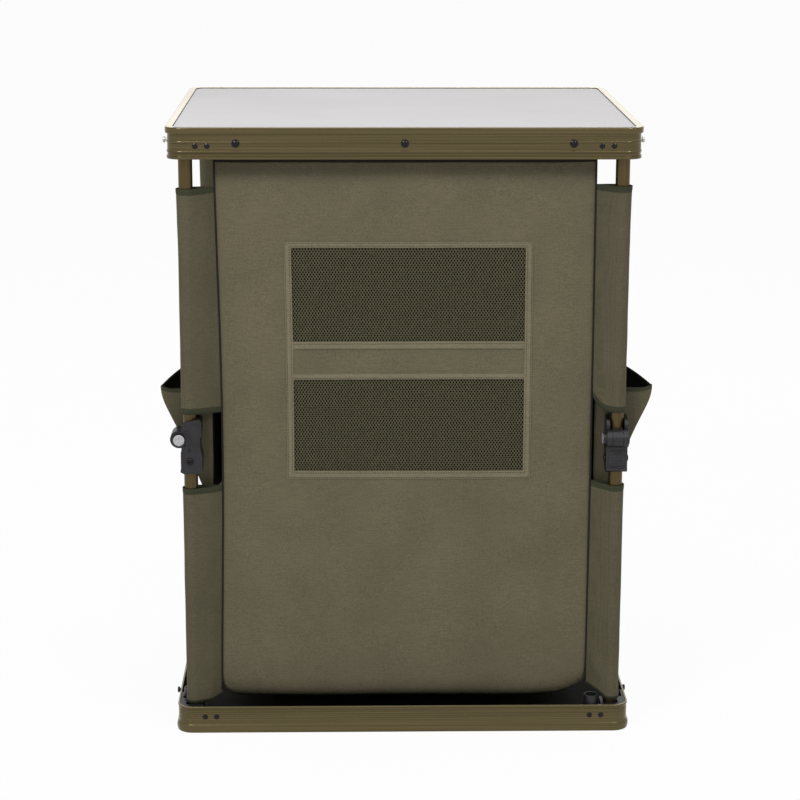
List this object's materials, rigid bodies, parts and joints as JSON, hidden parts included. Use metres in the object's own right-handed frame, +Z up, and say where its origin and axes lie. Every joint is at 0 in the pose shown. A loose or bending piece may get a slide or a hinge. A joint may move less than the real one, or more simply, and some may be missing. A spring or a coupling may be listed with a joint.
{
  "type": "folding storage cupboard",
  "caption": "Collapsible camping storage box: folding legs carry a table top over a fabric body with mesh windows, shelves, side pockets and a zipped door",
  "frame": {"origin": "on the ground at the middle of the base frame", "axes": "+Z up, +X to the right seen from the front, -Y towards the face with the mesh windows"},
  "size_m": [0.63, 0.5014, 0.8],
  "materials": {
    "frame_aluminium": "olive anodised extrusion with fine draw lines",
    "leg_tube": "olive brown anodised tube",
    "table_laminate": "board with a light grey satin laminate",
    "dark_board": "dark fibreboard",
    "black_nylon": "fine spark texture",
    "black_steel": "black zinc",
    "bright_steel": "nickel plated",
    "button_cap": "silver grey, speckled",
    "body_fabric": "olive coated polyester, plain weave",
    "sleeve_fabric": "olive polyester with a green binding",
    "window_net": "knitted net, black and olive",
    "zip_tape": "black coil zip"
  },
  "bodies": {
    "base": {"base_frame": "frame_aluminium", "base_panel": "dark_board", "base_bracket_fasteners": "black_steel", "base_strap_studs": "black_steel", "base_bracket_front_left": "black_nylon", "base_bracket_front_right": "black_nylon", "base_bracket_rear_right": "black_nylon", "base_bracket_rear_left": "black_nylon", "vent_panel": "body_fabric", "window_nets": "window_net", "side_panel_left": "body_fabric", "side_panel_right": "body_fabric", "rear_panel": "body_fabric", "door_zip": "zip_tape", "side_pockets_left": "body_fabric", "side_pockets_right": "body_fabric", "leg_sleeves_front_left": "sleeve_fabric", "leg_sleeves_front_right": "sleeve_fabric", "leg_sleeves_rear_right": "sleeve_fabric", "leg_sleeves_rear_left": "sleeve_fabric"},
    "top": {"top_frame": "frame_aluminium", "table_top": "table_laminate", "top_bracket_fasteners": "black_steel", "rail_screws": "black_steel", "top_strap_studs": "bright_steel", "hem_angle_front": "frame_aluminium", "hem_angle_rear": "frame_aluminium", "top_bracket_front_left": "black_nylon", "top_bracket_front_right": "black_nylon", "top_bracket_rear_right": "black_nylon", "top_bracket_rear_left": "black_nylon"},
    "door": {"door_flap": "body_fabric", "zip_pulls": "bright_steel"},
    "upper_shelf": {"upper_shelf": "dark_board"},
    "lower_shelf": {"lower_shelf": "dark_board"},
    "lower_leg_front_left": {"lower_tube_front_left": "leg_tube", "lower_knuckle_front_left": "black_nylon", "knee_hardware_front_left": "black_steel"},
    "upper_leg_front_left": {"upper_tube_front_left": "leg_tube", "upper_knuckle_front_left": "black_nylon"},
    "button_front_left": {"release_button_front_left": "button_cap"},
    "lower_leg_front_right": {"lower_tube_front_right": "leg_tube", "lower_knuckle_front_right": "black_nylon", "knee_hardware_front_right": "black_steel"},
    "upper_leg_front_right": {"upper_tube_front_right": "leg_tube", "upper_knuckle_front_right": "black_nylon"},
    "button_front_right": {"release_button_front_right": "button_cap"},
    "lower_leg_rear_right": {"lower_tube_rear_right": "leg_tube", "lower_knuckle_rear_right": "black_nylon", "knee_hardware_rear_right": "black_steel"},
    "upper_leg_rear_right": {"upper_tube_rear_right": "leg_tube", "upper_knuckle_rear_right": "black_nylon"},
    "button_rear_right": {"release_button_rear_right": "button_cap"},
    "lower_leg_rear_left": {"lower_tube_rear_left": "leg_tube", "lower_knuckle_rear_left": "black_nylon", "knee_hardware_rear_left": "black_steel"},
    "upper_leg_rear_left": {"upper_tube_rear_left": "leg_tube", "upper_knuckle_rear_left": "black_nylon"},
    "button_rear_left": {"release_button_rear_left": "button_cap"}
  },
  "joints": [
    {"name": "fold_front_left", "type": "hinge", "parent": "base", "child": "lower_leg_front_left", "pos_m": [-0.2755, -0.2255, 0.0275], "axis": [0, 1, 0], "range_deg": [0, 90], "deforming": ["vent_panel", "window_nets", "side_panel_left", "side_panel_right", "rear_panel", "door_zip", "side_pockets_left", "side_pockets_right", "leg_sleeves_front_left", "leg_sleeves_front_right", "leg_sleeves_rear_right", "leg_sleeves_rear_left", "door_flap", "zip_pulls"]},
    {"name": "knee_front_left", "type": "hinge", "parent": "lower_leg_front_left", "child": "upper_leg_front_left", "pos_m": [-0.28925, -0.2255, 0.398], "axis": [0, 1, 0], "range_deg": [-180, 0]},
    {"name": "button_press_front_left", "type": "slide", "parent": "lower_leg_front_left", "child": "button_front_left", "axis": [0, 1, 0], "range_m": [0, 0.0024], "stiffness_N_per_m": 300, "springref_m": -0.004},
    {"name": "fold_front_right", "type": "hinge", "parent": "base", "child": "lower_leg_front_right", "pos_m": [0.2755, -0.2255, 0.0275], "axis": [-1, 0, 0], "range_deg": [0, 90]},
    {"name": "knee_front_right", "type": "hinge", "parent": "lower_leg_front_right", "child": "upper_leg_front_right", "pos_m": [0.2755, -0.23925, 0.398], "axis": [-1, 0, 0], "range_deg": [-180, 0]},
    {"name": "button_press_front_right", "type": "slide", "parent": "lower_leg_front_right", "child": "button_front_right", "axis": [1, 0, 0], "range_m": [0, 0.0024], "stiffness_N_per_m": 300, "springref_m": -0.004},
    {"name": "fold_rear_right", "type": "hinge", "parent": "base", "child": "lower_leg_rear_right", "pos_m": [0.2755, 0.2255, 0.0275], "axis": [0, -1, 0], "range_deg": [0, 90]},
    {"name": "knee_rear_right", "type": "hinge", "parent": "lower_leg_rear_right", "child": "upper_leg_rear_right", "pos_m": [0.28925, 0.2255, 0.398], "axis": [0, -1, 0], "range_deg": [-180, 0]},
    {"name": "button_press_rear_right", "type": "slide", "parent": "lower_leg_rear_right", "child": "button_rear_right", "axis": [0, -1, 0], "range_m": [0, 0.0024], "stiffness_N_per_m": 300, "springref_m": -0.004},
    {"name": "fold_rear_left", "type": "hinge", "parent": "base", "child": "lower_leg_rear_left", "pos_m": [-0.2755, 0.2255, 0.0275], "axis": [1, 0, 0], "range_deg": [0, 90]},
    {"name": "knee_rear_left", "type": "hinge", "parent": "lower_leg_rear_left", "child": "upper_leg_rear_left", "pos_m": [-0.2755, 0.23925, 0.398], "axis": [1, 0, 0], "range_deg": [-180, 0]},
    {"name": "button_press_rear_left", "type": "slide", "parent": "lower_leg_rear_left", "child": "button_rear_left", "axis": [-1, 0, 0], "range_m": [0, 0.0024], "stiffness_N_per_m": 300, "springref_m": -0.004},
    {"name": "top_pivot", "type": "hinge", "parent": "upper_leg_front_left", "child": "top", "pos_m": [-0.2755, -0.2255, 0.7685], "axis": [0, 1, 0], "range_deg": [0, 90]},
    {"name": "lower_shelf_drop", "type": "slide", "parent": "base", "child": "lower_shelf", "axis": [0, 0, 1], "range_m": [-0.25, 0]},
    {"name": "upper_shelf_drop", "type": "slide", "parent": "base", "child": "upper_shelf", "axis": [0, 0, 1], "range_m": [-0.472, 0]},
    {"name": "door_hinge", "type": "hinge", "parent": "top", "child": "door", "pos_m": [0, 0.2143, 0.748], "axis": [1, 0, 0], "range_deg": [0, 100]}
  ],
  "couplings": [
    {"joint": "knee_front_left", "follows": "fold_front_left", "ratio": -2},
    {"joint": "fold_front_right", "follows": "fold_front_left", "ratio": 1},
    {"joint": "knee_front_right", "follows": "fold_front_left", "ratio": -2},
    {"joint": "fold_rear_right", "follows": "fold_front_left", "ratio": 1},
    {"joint": "knee_rear_right", "follows": "fold_front_left", "ratio": -2},
    {"joint": "fold_rear_left", "follows": "fold_front_left", "ratio": 1},
    {"joint": "knee_rear_left", "follows": "fold_front_left", "ratio": -2},
    {"joint": "top_pivot", "follows": "fold_front_left", "ratio": 1},
    {"joint": "lower_shelf_drop", "follows": "fold_front_left", "m_per_rad": -0.15915},
    {"joint": "upper_shelf_drop", "follows": "fold_front_left", "m_per_rad": -0.30048}
  ]
}
